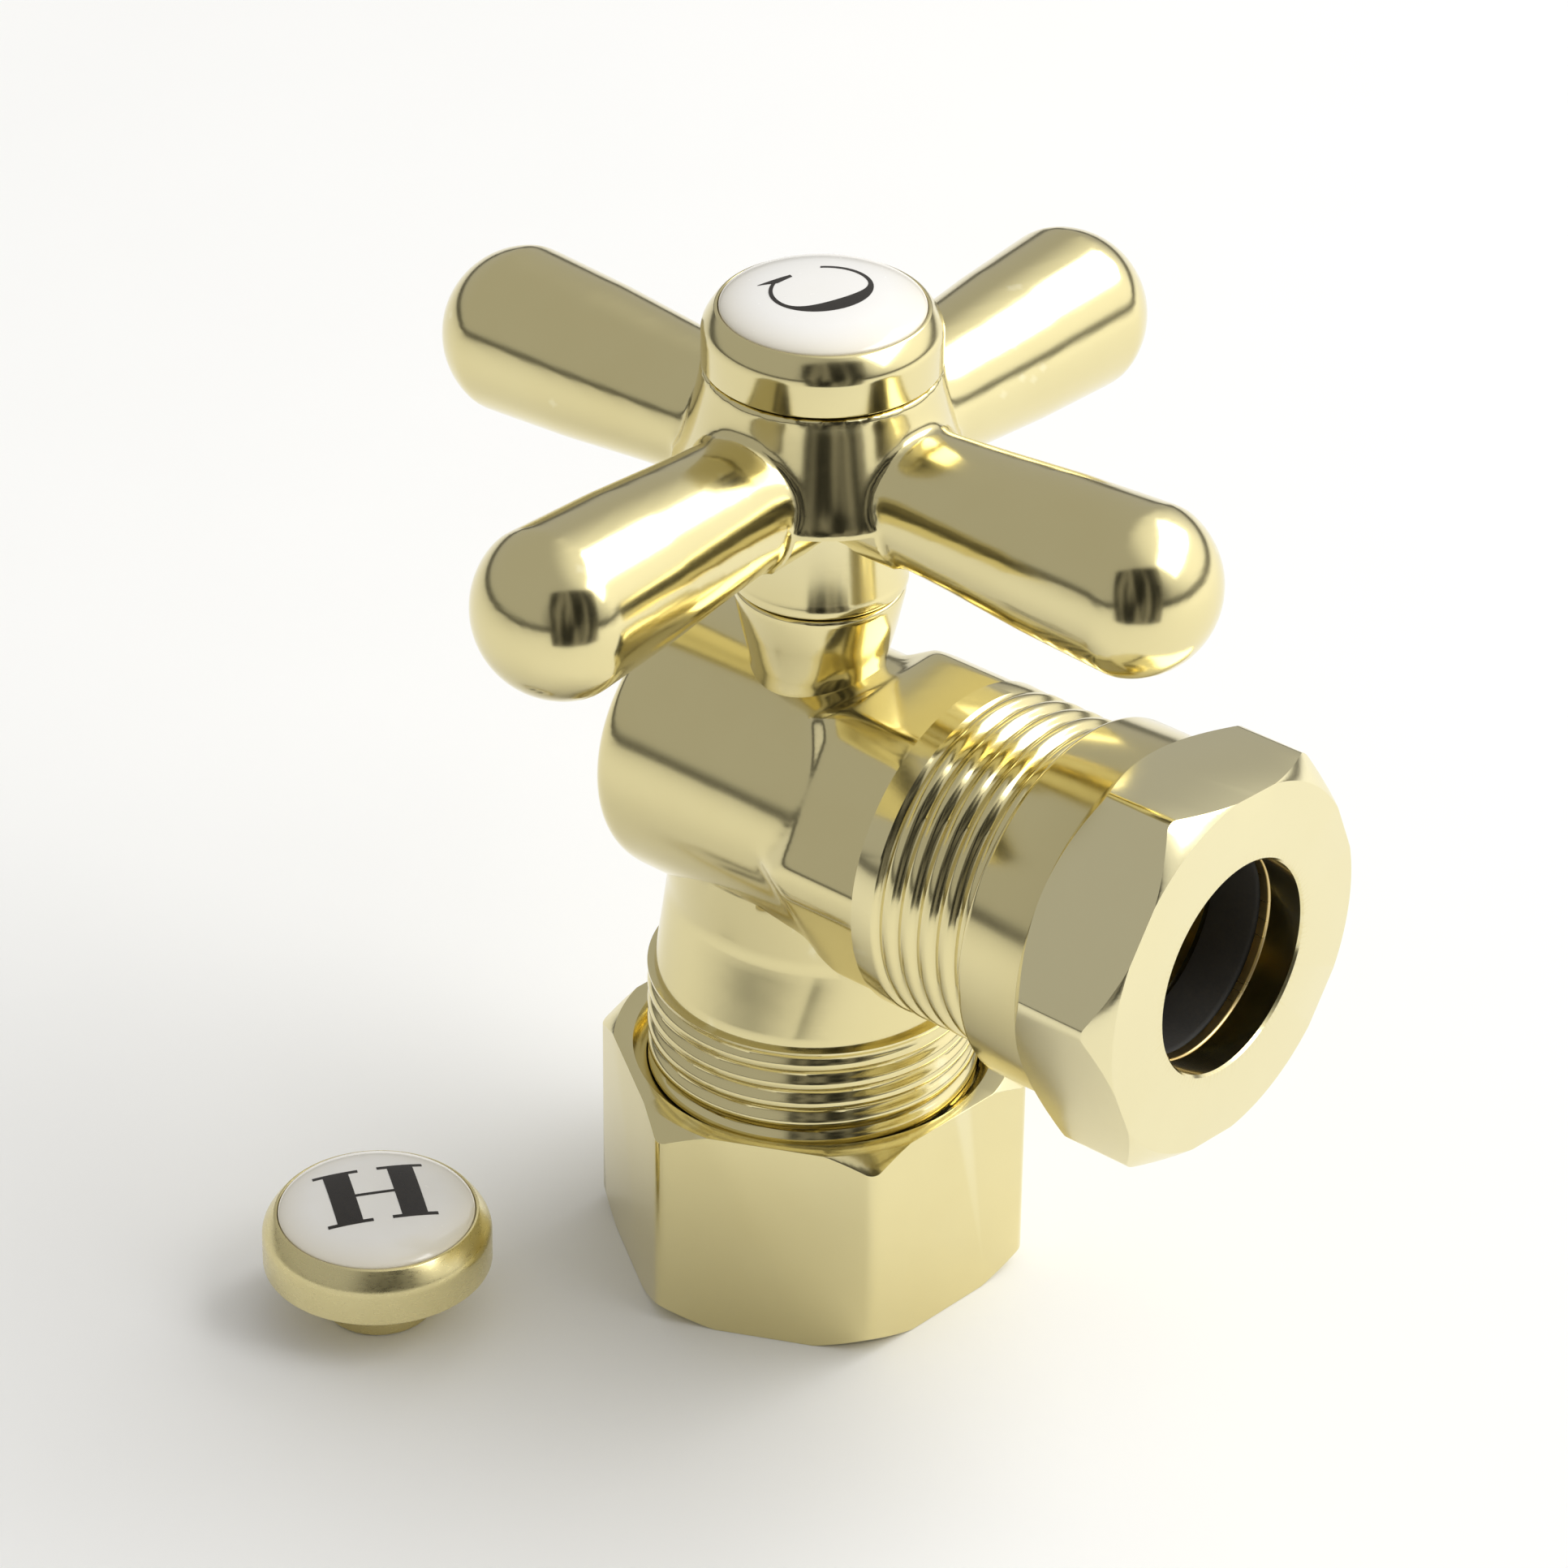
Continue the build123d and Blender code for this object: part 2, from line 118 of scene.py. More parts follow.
def combine(piece, tool, operation):
    """Unite with, cut with or keep the overlap with another closed part, which is used up."""
    only(piece)
    bpy.ops.object.modifier_add(type="BOOLEAN")
    fit = piece.modifiers[-1]
    fit.object = tool
    fit.operation = operation
    fit.solver = "MANIFOLD"
    bpy.ops.object.modifier_apply(modifier=fit.name)
    bpy.data.objects.remove(tool)


def fettle(lumps, grain, passes):
    """Weld overlapping lumps into one skin and soften its corners, as polishing does."""
    piece = lumps[0]
    only(piece)
    for lump in lumps[1:]:
        lump.select_set(True)
    bpy.ops.object.join()
    bpy.ops.object.modifier_add(type="REMESH")
    skin = piece.modifiers[-1]
    skin.mode = "VOXEL"
    skin.voxel_size = grain
    bpy.ops.object.modifier_apply(modifier=skin.name)
    bpy.ops.object.modifier_add(type="SMOOTH")
    polish = piece.modifiers[-1]
    polish.factor = 0.5
    polish.iterations = passes
    bpy.ops.object.modifier_apply(modifier=polish.name)
    return piece


def cut_thread(piece, crest_r, low, high):
    """Move the vertices of a finely divided cylinder inwards along a right-hand helix."""
    for v in piece.data.vertices:
        radius = sqrt(v.co.x ** 2 + v.co.y ** 2)
        inside = min(v.co.z - low, high - v.co.z)
        if radius < crest_r - 0.05 or inside <= 0:
            continue
        turns = v.co.z / thread_pitch - atan2(v.co.y, v.co.x) / (2 * pi)
        groove = (0.5 - 0.5 * cos(2 * pi * turns)) ** groove_sharpness
        groove *= min(1.0, inside / thread_run_out)
        scale = (radius - thread_depth * groove) / radius
        v.co.x *= scale
        v.co.y *= scale


def settle(piece, body, node, finish):
    """Bring a finished part to metres, smooth its shading, give it its finish and body, and hide
    the CAD node it replaces.
    """
    sharpest_curve = 32
    only(piece)
    piece.scale = (MM, MM, MM)
    bpy.ops.object.transform_apply(location=True, rotation=True, scale=True)
    bpy.ops.object.shade_smooth_by_angle(angle=radians(sharpest_curve))
    piece.data.materials.clear()
    piece.data.materials.append(finish)
    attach(piece, body)
    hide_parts(node)


class Signal:
    """One socket of a node tree. Sums, differences and products add Math nodes."""

    def __init__(self, finish, socket):
        self.finish = finish
        self.socket = socket

    def math(self, operation, first, second, clamp=False):
        settings = {"operation": operation, "use_clamp": clamp}
        return self.finish.node("ShaderNodeMath", settings, {0: first, 1: second})

    def __add__(self, other):
        return self.math("ADD", self, other)

    def __radd__(self, other):
        return self.math("ADD", other, self)

    def __sub__(self, other):
        return self.math("SUBTRACT", self, other)

    def __rsub__(self, other):
        return self.math("SUBTRACT", other, self)

    def __mul__(self, other):
        return self.math("MULTIPLY", self, other)

    def __rmul__(self, other):
        return self.math("MULTIPLY", other, self)

    def clamped(self):
        return self.math("ADD", self, 0.0, clamp=True)


class Finish:
    """A material, or the studio's surround, under construction."""

    def __init__(self, owner):
        self.owner = owner
        owner.use_nodes = True
        self.tree = owner.node_tree
        self.tree.nodes.clear()

    def node(self, kind, settings=None, sockets=None, output=0):
        """Add a node: its settings first, then the values or links of its sockets."""
        made = self.tree.nodes.new(kind)
        for key, value in (settings or {}).items():
            setattr(made, key, value)
        for key, value in (sockets or {}).items():
            if isinstance(value, Signal):
                self.tree.links.new(value.socket, made.inputs[key])
            else:
                made.inputs[key].default_value = value
        return Signal(self, made.outputs[output]) if len(made.outputs) else None

    def where(self, scale=1.0, stretch=(1, 1, 1)):
        """Object coordinates in millimetres times a scale."""
        point = self.node("ShaderNodeTexCoord", output="Object")
        size = [scale * s / MM for s in stretch]
        return self.node("ShaderNodeMapping", None, {"Vector": point, "Scale": size})

    def noise(self, scale, detail=2.0, roughness=0.5, stretch=(1, 1, 1)):
        """Noise from 0 to 1, with scale in grains per millimetre."""
        sockets = {"Vector": self.where(scale, stretch), "Scale": 1.0, "Detail": detail,
                   "Roughness": roughness}
        return self.node("ShaderNodeTexNoise", None, sockets)

    def blend(self, amount, first, second):
        """Mix two colours. A Mix node keeps its colour sockets at 6 and 7, and the result at 2."""
        sockets = {0: amount, 6: first, 7: second}
        return self.node("ShaderNodeMix", {"data_type": "RGBA"}, sockets, output=2)

    def surface(self, sockets, bump=None, depth=0.0):
        """Finish with a Principled shader, and a bump of the given depth in millimetres."""
        if bump is not None:
            bumped = self.node("ShaderNodeBump", None, {"Height": bump, "Distance": depth * MM})
            sockets = {**sockets, "Normal": bumped}
        shader = self.node("ShaderNodeBsdfPrincipled", None, sockets)
        self.node("ShaderNodeOutputMaterial", None, {"Surface": shader})
        return self.owner


def polished_brass(name, wave=0.012, scuff=0.05, tone=0.5):
    """Buffed, lacquered pale brass: slight casting waves, fine scuffs, worn bright edges, painted
    shade in the hollows.
    """
    brass = Finish(bpy.data.materials.new(name))
    cloud = brass.noise(0.11, detail=3.0)
    speck = brass.noise(2.6, detail=4.0, roughness=0.6)
    rub = brass.noise(1.3, detail=3.0, roughness=0.55, stretch=(1, 1, 7))
    edge = brass.node("ShaderNodeNewGeometry", output="Pointiness")
    worn = ((edge - 0.52) * 9.0).clamped()
    painted_shade_hollows = ((0.485 - edge) * 9.0).clamped()
    pale = (0.80, 0.715, 0.395, 1)
    deep = (0.71, 0.61, 0.295, 1)
    colour = brass.blend((cloud * 1.5 - 0.25).clamped() * tone, pale, deep)
    colour = brass.blend(worn * 0.40, colour, (0.90, 0.85, 0.60, 1))
    # Painted shade: concave creases and hollows, found by pointiness, are darkened in the colour
    # where shade would fall; they are also a little rougher.
    colour = brass.blend(painted_shade_hollows * 0.40, colour, (0.50, 0.41, 0.17, 1))
    rough = 0.115 + scuff * (rub * 0.9 + speck * 0.6) + painted_shade_hollows * 0.08
    height = brass.noise(0.32, detail=1.0) + rub * 0.02
    return brass.surface(
        {"Base Color": colour, "Metallic": 1.0, "Roughness": rough, "Coat Weight": 0.25,
         "Coat Roughness": 0.05, "Coat IOR": 1.45},
        bump=height, depth=wave)


body_low, body_high = box_mm("valve_body")
ring_low, ring_high = box_mm("outlet_friction_ring")
nut_low, nut_high = box_mm("inlet_nut")
outlet_z = (ring_low[2] + ring_high[2]) / 2
barrel_r = 9.1
barrel_front = 11.7
leg_r = 9.45
leg_foot_r = 9.9
inlet_crest_r = 10.32
outlet_crest_r = body_high[1]
thread_pitch = 1.411
thread_depth = 0.38
thread_run_out = 0.5
groove_sharpness = 1.7
thread_top = nut_high[2] + 6.1
leg_long = 0.3
leg_narrow = 1.3
leg_taper = 5.0
neck_top = body_high[2]
end_round = 1.8
wrench_length = 6.0
wrench_taper = 2.4
flat_rise = 0.20

# The leg is round where the thread ends and becomes an upright oval towards the barrel.
leg = turn("leg", [(0, thread_top - 2), (leg_r, thread_top - 2), (leg_r, outlet_z), (0, outlet_z)],
           cuts=[(1, 27)])
for v in leg.data.vertices:
    climb = min(1.0, max(0.0, (v.co.z - thread_top) / leg_taper))
    v.co.x *= (leg_foot_r + (leg_r + leg_long - leg_foot_r) * climb) / leg_r
    v.co.y *= (leg_foot_r + (leg_r - leg_narrow - leg_foot_r) * climb) / leg_r
barrel = turn("barrel", [(0, body_low[0]), (barrel_r, body_low[0]), (barrel_r, barrel_front),
                         (0, barrel_front)], rounds=[(1, end_round)])
place(barrel, (0, 0, outlet_z), (0, 90, 0))

bpy.ops.object.select_all(action="DESELECT")
flats_r = (barrel_r + flat_rise) / cos(radians(30))
bpy.ops.mesh.primitive_cylinder_add(vertices=6, radius=flats_r, depth=wrench_length,
                                    location=(0, 0, barrel_front - wrench_length / 2),
                                    end_fill_type="NGON")
wrench = bpy.context.active_object
bpy.ops.object.transform_apply(location=True, rotation=True, scale=True)
bpy.ops.object.mode_set(mode="EDIT")
pick(wrench, lambda co: co.z < barrel_front - 5)
bpy.ops.mesh.extrude_region_move(TRANSFORM_OT_translate={"value": (0, 0, -wrench_taper)})
bpy.ops.transform.resize(value=(0.87, 0.87, 1))
bpy.ops.object.mode_set(mode="OBJECT")
trim_r = outlet_crest_r - 0.15
trim = turn("trim", [(0, 0), (trim_r, 0), (trim_r, barrel_front), (0, barrel_front)])
combine(wrench, trim, "INTERSECT")
place(wrench, (0, 0, outlet_z), (0, 90, 0))

neck = turn("neck", [(0, outlet_z + 5), (4.1, outlet_z + 5), (4.15, outlet_z + barrel_r),
                     (4.75, outlet_z + barrel_r + 2.4), (5.2, neck_top - 0.5), (5.2, neck_top),
                     (0, neck_top)], rounds=[(5, 0.25)])
casting = fettle([barrel, wrench], grain=0.21, passes=24)
casting.name = "body_casting"
casting.data.name = "body_casting"
combine(casting, leg, "UNION")
combine(casting, neck, "UNION")

lead_in = 0.7
inlet_thread = turn(
    "inlet_thread",
    [(0, body_low[2]), (inlet_crest_r - lead_in, body_low[2]),
     (inlet_crest_r, body_low[2] + lead_in), (inlet_crest_r, thread_top), (0, thread_top)],
    steps=160, cuts=[(2, 119)])
cut_thread(inlet_thread, inlet_crest_r, body_low[2] + 0.6, thread_top - 0.15)
spigot = turn(
    "spigot",
    [(0, barrel_front - 0.5), (outlet_crest_r, barrel_front - 0.5),
     (outlet_crest_r, barrel_front + 0.9), (outlet_crest_r, body_high[0] - lead_in),
     (outlet_crest_r - lead_in, body_high[0]), (0, body_high[0])],
    steps=160, cuts=[(2, 99)])
cut_thread(spigot, outlet_crest_r, barrel_front + 0.8, body_high[0] - 0.6)
place(spigot, (0, 0, outlet_z), (0, 90, 0))
combine(casting, inlet_thread, "UNION")
combine(casting, spigot, "UNION")

pipe_hole_r = 8.05
chamber_r = 7.0
mouth_r = 9.3
ferrule_low, ferrule_high = box_mm("inlet_ferrule")
cone_top = ferrule_high[2] + 0.1
pipe_stop = 17.5
waterway_r = 5.0
inlet_bore = turn(
    "inlet_bore",
    [(0, body_low[2] - 1), (mouth_r, body_low[2] - 1), (mouth_r, cone_top - 1.5),
     (pipe_hole_r + 0.55, cone_top), (pipe_hole_r, cone_top), (pipe_hole_r, pipe_stop),
     (waterway_r, pipe_stop), (waterway_r, outlet_z), (0, outlet_z)])
seat_back = box_mm("rear_seat")[0][0]
outlet_bore = turn(
    "outlet_bore",
    [(0, seat_back), (chamber_r, seat_back), (chamber_r, body_high[0] - 0.5),
     (chamber_r + 1.0, body_high[0] + 0.5), (0, body_high[0] + 0.5)])
place(outlet_bore, (0, 0, outlet_z), (0, 90, 0))
washer_top = box_mm("stem_thrust_washer")[1][2]
gland_r = 3.6
stem_hole_r = 2.6
gland_top = washer_top + 0.15
gland = turn(
    "gland",
    [(0, outlet_z), (gland_r, outlet_z), (gland_r, gland_top), (stem_hole_r, gland_top),
     (stem_hole_r, neck_top + 1), (0, neck_top + 1)], steps=64)
for tool in (inlet_bore, outlet_bore, gland):
    combine(casting, tool, "DIFFERENCE")
settle(casting, "valve", "valve_body", polished_brass("body_brass"))


# --- Inlet ferrule ---------------------------------------------------------------------------
# A soft brass compression sleeve, turned with a cone at each end, that the nut squeezes onto
# the supply tube. It is left as machined.


def machined_brass(name):
    """Bright yellow brass with fine turning lines round Z."""
    brass = Finish(bpy.data.materials.new(name))
    lines = brass.noise(6.0, detail=2.0, stretch=(0.03, 0.03, 1))
    cloud = brass.noise(0.2, detail=2.0)
    colour = brass.blend(cloud, (0.76, 0.62, 0.33, 1), (0.66, 0.50, 0.22, 1))
    rough = 0.22 + lines * 0.14
    return brass.surface({"Base Color": colour, "Metallic": 1.0, "Roughness": rough},
                         bump=lines, depth=0.004)


ferrule = turn(
    "compression_sleeve",
    [(pipe_hole_r, ferrule_low[2]), (8.7, ferrule_low[2]), (ferrule_high[0], ferrule_low[2] + 0.5),
     (ferrule_high[0], ferrule_high[2] - 1.5), (8.5, ferrule_high[2]),
     (pipe_hole_r, ferrule_high[2]), (pipe_hole_r, ferrule_low[2])],
    rounds=[(2, 0.15), (3, 0.3)], steps=96)
settle(ferrule, "ferrule", "inlet_ferrule", machined_brass("sleeve_brass"))


# --- Inlet nut -------------------------------------------------------------------------------
# Hexagonal compression nut, machined from brass bar with turned chamfers, then buffed until
# its corners are soft.


def hexagon_blank(name, flats, low, high, low_r, high_r, corner_angle):
    """A hexagonal bar about Z whose ends are chamfered down to circles, with buffed edges."""
    corner_r = flats / (2 * cos(radians(30)))
    bpy.ops.object.select_all(action="DESELECT")
    bpy.ops.mesh.primitive_cylinder_add(vertices=6, radius=corner_r, depth=high - low,
                                        end_fill_type="NGON")
    blank = bpy.context.active_object
    blank.name = name
    blank.data.name = name
    place(blank, (0, 0, (low + high) / 2), (0, 0, corner_angle - 30))
    bpy.ops.object.mode_set(mode="EDIT")
    bpy.ops.mesh.select_mode(type="EDGE")
    uprights = bmesh.from_edit_mesh(blank.data)
    for edge in uprights.edges:
        edge.select = abs(edge.verts[0].co.z - edge.verts[1].co.z) > 1
    bmesh.update_edit_mesh(blank.data)
    corner_round = 0.55
    bpy.ops.mesh.bevel(offset=corner_round, segments=5)
    bpy.ops.object.mode_set(mode="OBJECT")
    outer_r = corner_r + 0.1
    chamfer_slope = 0.87
    low_chamfer = low + (outer_r - low_r) * chamfer_slope
    high_chamfer = high - (outer_r - high_r) * chamfer_slope
    envelope = turn("envelope", [(0, low), (low_r, low), (outer_r, low_chamfer),
                                 (outer_r, high_chamfer), (high_r, high), (0, high)], steps=180)
    combine(blank, envelope, "INTERSECT")
    only(blank)
    bpy.ops.object.modifier_add(type="BEVEL")
    buffing = blank.modifiers[-1]
    buffing.width = 0.26
    buffing.segments = 3
    buffing.limit_method = "ANGLE"
    buffing.angle_limit = radians(28)
    bpy.ops.object.modifier_apply(modifier=buffing.name)
    return blank


nut_flats = 23.8
inlet_nut = hexagon_blank("compression_nut", nut_flats, nut_low[2], nut_high[2],
                          nut_flats / 2 + 0.40, nut_flats / 2 + 0.55, -34.5)
bore_r = 10.40
countersink = 0.84
nut_bore = turn(
    "nut_bore",
    [(0, -1), (pipe_hole_r + 0.7, -1), (pipe_hole_r, 0.3), (pipe_hole_r, ferrule_low[2]),
     (bore_r, ferrule_low[2]), (bore_r, nut_high[2] - countersink),
     (bore_r + countersink + 1, nut_high[2] + 1), (0, nut_high[2] + 1)])
combine(inlet_nut, nut_bore, "DIFFERENCE")
settle(inlet_nut, "inlet_nut", "inlet_nut",
       polished_brass("nut_brass", wave=0.006))


# --- Outlet washer and friction ring ---------------------------------------------------------
# A moulded rubber slip-joint washer seals round the riser tube, and a thin brass ring lets the
# nut turn on it without dragging it round.


def black_rubber(name):
    """Dull moulded rubber with a fine grain."""
    rubber = Finish(bpy.data.materials.new(name))
    grain = rubber.noise(5.0, detail=4.0, roughness=0.6)
    cloud = rubber.noise(0.3)
    colour = rubber.blend(cloud, (0.020, 0.019, 0.018, 1), (0.045, 0.042, 0.038, 1))
    return rubber.surface({"Base Color": colour, "Roughness": 0.55 + grain * 0.25},
                          bump=grain, depth=0.02)


rubber_low, rubber_high = box_mm("outlet_washer")
riser_hole_r = 6.65
washer_r = rubber_high[1]
rubber = turn(
    "slip_joint_washer",
    [(riser_hole_r, rubber_low[0]), (washer_r, rubber_low[0]), (washer_r, rubber_high[0]),
     (riser_hole_r, rubber_high[0]), (riser_hole_r, rubber_low[0])],
    rounds=[(1, 0.4), (2, 0.4), (3, 0.45)])
place(rubber, (0, 0, outlet_z), (0, 90, 0))
settle(rubber, "washers", "outlet_washer", black_rubber("washer_rubber"))

friction_ring = turn(
    "friction_ring",
    [(riser_hole_r, ring_low[0]), (ring_high[1], ring_low[0]), (ring_high[1], ring_high[0]),
     (riser_hole_r, ring_high[0]), (riser_hole_r, ring_low[0])],
    rounds=[(1, 0.15), (2, 0.15), (3, 0.2)])
place(friction_ring, (0, 0, outlet_z), (0, 90, 0))
settle(friction_ring, "washers", "outlet_friction_ring",
       machined_brass("ring_brass"))


# --- Outlet nut ------------------------------------------------------------------------------
# Slip-joint nut: a round collar behind a short hexagon, machined from brass bar and buffed like
# the inlet nut.

slip_low, slip_high = box_mm("outlet_nut")
collar_r = 11.5
hex_start = 24.3
slip_nut = hexagon_blank("slip_joint_nut", 2 * collar_r, hex_start, slip_high[0], collar_r,
                         collar_r + 0.15, 23.6)
collar = turn("collar", [(0, slip_low[0]), (collar_r - 0.06, slip_low[0]),
                         (collar_r - 0.06, hex_start + 2), (0, hex_start + 2)], rounds=[(1, 0.4)])
combine(slip_nut, collar, "UNION")
flange = 2.3
mouth_hole_r = riser_hole_r + 0.10
slip_bore = turn(
    "slip_bore",
    [(0, slip_low[0] - 1), (outlet_crest_r + 1.08, slip_low[0] - 1),
     (outlet_crest_r + 0.08, slip_low[0] + 0.3), (outlet_crest_r + 0.08, slip_high[0] - flange),
     (mouth_hole_r, slip_high[0] - flange), (mouth_hole_r, slip_high[0] - 0.15),
     (mouth_hole_r + 0.8, slip_high[0] + 0.65), (0, slip_high[0] + 0.65)])
combine(slip_nut, slip_bore, "DIFFERENCE")
place(slip_nut, (0, 0, outlet_z), (0, 90, 0))
settle(slip_nut, "outlet_nut", "outlet_nut",
       polished_brass("slip_brass", wave=0.006))


# --- Ball, seats and retainer ----------------------------------------------------------------
# A chromium-plated brass ball turns between two PTFE rings. The brass retainer is screwed into
# the outlet in front of them, with an O-ring round it. All keep their machined CAD shapes.


def refinish(node, finish):
    """Give a CAD node a better material."""
    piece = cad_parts[node]
    piece.data.materials.clear()
    piece.data.materials.append(finish)


# Lapped chromium plate on the ball, and waxy white PTFE with turning marks.
plate = Finish(bpy.data.materials.new("ball_plate"))
haze = plate.noise(0.8, detail=3.0)
plate_colour = plate.blend(haze, (0.80, 0.81, 0.82, 1), (0.72, 0.73, 0.75, 1))
refinish("ball", plate.surface(
    {"Base Color": plate_colour, "Metallic": 1.0, "Roughness": 0.08 + haze * 0.10},
    bump=haze, depth=0.003))
waxy = Finish(bpy.data.materials.new("seat_ptfe"))
marks = waxy.noise(4.0, stretch=(1, 0.05, 0.05))
waxy_colour = waxy.blend(marks, (0.86, 0.86, 0.83, 1), (0.78, 0.78, 0.75, 1))
ptfe = waxy.surface({"Base Color": waxy_colour, "Roughness": 0.38 + marks * 0.12},
                    bump=marks, depth=0.01)
inner_brass = machined_brass("inner_brass")
seal_rubber = black_rubber("seal_rubber")
for node in ("front_seat", "rear_seat"):
    refinish(node, ptfe)
refinish("seat_retainer", inner_brass)
refinish("retainer_o_ring", seal_rubber)


# --- Stem and its packing --------------------------------------------------------------------
# The turned brass stem carries two O-rings and a PTFE thrust washer inside the neck.

refinish("stem", inner_brass)
refinish("stem_o_ring_lower", seal_rubber)
refinish("stem_o_ring_upper", seal_rubber)
refinish("stem_thrust_washer", ptfe)


# --- Cross handle ----------------------------------------------------------------------------
# Hub and four ball-ended arms in one brass casting, polished so that the arms run into the hub
# with small fillets, then cut back for the skirt and bored for the stem, screw and button.

handle_high = box_mm("cross_handle")[1]
rim_high = box_mm("cold_button_rim")[1]
skirt_low, skirt_high = box_mm("handle_skirt")
hub_top = handle_high[2]
hub_foot = skirt_high[2]
hub_top_r = rim_high[0] + 0.07
arm_end_r = 5.37
arm_reach = handle_high[0] - arm_end_r
arm_z = hub_foot + 2.6

spigot_r = 4.15
socket_r = 6.2
belly_r = hub_top_r + 1.70
belly_z = hub_foot + 2.3
flank_height = 6.0
flare = 0.66
spigot_low = skirt_low[2] + 0.8
spare_metal = 1.0
flank = []
for k in range(9):
    t = k / 8
    flank.append((belly_r + (hub_top_r - belly_r) * t ** flare, belly_z + flank_height * t))
hub = turn(
    "handle_casting",
    [(0, spigot_low), (spigot_r, spigot_low), (spigot_r, hub_foot - spare_metal),
     (belly_r - 0.3, hub_foot - spare_metal)] + flank + [(hub_top_r, hub_top), (0, hub_top)])

root_r = arm_end_r - 1.17
ball_arc = [radians(a) for a in range(78, -1, -6)]
arm_outline = [(0, 0), (root_r, 0), (root_r, 8.4), (root_r + 0.25, 12.0), (root_r + 0.72, 17.5)]
arm_outline += [(arm_end_r * sin(a), arm_reach + arm_end_r * cos(a)) for a in ball_arc]
lumps = [hub]
for k in range(4):
    arm = turn("arm", arm_outline, steps=96)
    place(arm, turned=(0, 90, 0))
    place(arm, (0, 0, arm_z), (0, 0, 90 * k))
    lumps.append(arm)
handle = fettle(lumps, grain=0.22, passes=16)

# The hub's foot is cut back to the skirt between the arms, and the skirt's seat is cut in it.
skirt_edge_r = 5.0
clear_r = belly_r + 1
between_arms = turn(
    "between_arms",
    [(skirt_edge_r, skirt_low[2]), (clear_r, skirt_low[2]), (clear_r, hub_foot + 2.4),
     (skirt_edge_r, hub_foot), (skirt_edge_r, skirt_low[2])])
spoke_r = root_r + 0.3
for k in range(2):
    spoke = turn("spoke", [(0, -20), (spoke_r, -20), (spoke_r, 20), (0, 20)], steps=96)
    place(spoke, turned=(0, 90, 0))
    place(spoke, (0, 0, arm_z), (0, 0, 90 * k))
    combine(between_arms, spoke, "DIFFERENCE")
combine(handle, between_arms, "DIFFERENCE")
skirt_seat = turn(
    "skirt_seat",
    [(spigot_r, skirt_low[2]), (socket_r, skirt_low[2]), (socket_r, hub_foot),
     (spigot_r, hub_foot), (spigot_r, skirt_low[2])])
combine(handle, skirt_seat, "DIFFERENCE")

bore_floor = hub_top - 5.4
stub_r = 3.56
gasket_seat = hub_top - 0.7
gasket_seat_r = 5.5
bore = turn(
    "button_bore",
    [(0, bore_floor), (stub_r, bore_floor), (stub_r, gasket_seat), (gasket_seat_r, gasket_seat),
     (gasket_seat_r, hub_top + 1), (0, hub_top + 1)])
combine(handle, bore, "DIFFERENCE")
bpy.ops.object.select_all(action="DESELECT")
stem_side = 3.62
socket_height = 10.0
bpy.ops.mesh.primitive_cube_add(size=1, location=(0, 0, hub_top - 5.0 - socket_height / 2))
socket = bpy.context.active_object
socket.scale = (stem_side, stem_side, socket_height)
bpy.ops.object.transform_apply(location=True, rotation=True, scale=True)
combine(handle, socket, "DIFFERENCE")
settle(handle, "handle", "cross_handle", polished_brass("handle_brass"))


# --- Handle skirt ----------------------------------------------------------------------------
# A thin turned brass sleeve on the hub's foot that hides the stem, flared to a bead at its rim.

skirt_rim_r = skirt_high[0]
skirt_top_r = skirt_rim_r - 0.35
skirt_bore_r = 4.2
skirt = turn(
    "stem_skirt",
    [(skirt_bore_r, skirt_low[2]), (skirt_rim_r, skirt_low[2]), (skirt_rim_r, skirt_low[2] + 0.5),
     (skirt_rim_r - 0.12, skirt_low[2] + 0.9), (skirt_top_r, skirt_high[2]),
     (skirt_bore_r, skirt_high[2]), (skirt_bore_r, skirt_low[2])],
    rounds=[(1, 0.2), (2, 0.15)])
settle(skirt, "handle", "handle_skirt", polished_brass("skirt_brass", wave=0.004))


# --- Handle screw ----------------------------------------------------------------------------
# A slotted brass cheese-head screw at the bottom of the hub's bore holds the handle on the stem.

screw_low, screw_high = box_mm("handle_screw")
head_r = screw_high[0]
head_base = screw_high[2] - 1.6
shank_r = 1.19
screw = turn(
    "slotted_screw",
    [(0, screw_low[2]), (shank_r, screw_low[2]), (shank_r, head_base), (head_r, head_base),
     (head_r, screw_high[2]), (0, screw_high[2])],
    rounds=[(4, 0.3)], steps=64)
bpy.ops.object.select_all(action="DESELECT")
bpy.ops.mesh.primitive_cube_add(size=1, location=(0, 0, screw_high[2]))
slot_tool = bpy.context.active_object
slot_tool.scale = (8, 0.7, 1.2)
bpy.ops.object.transform_apply(location=True, rotation=True, scale=True)
combine(screw, slot_tool, "DIFFERENCE")
settle(screw, "handle", "handle_screw", inner_brass)


# --- Index buttons ---------------------------------------------------------------------------
# Each is a turned brass cup on a plain stub, with a pillowed porcelain disc set in it. One is
# in the handle, on its rubber washer, and the other stands on the floor.


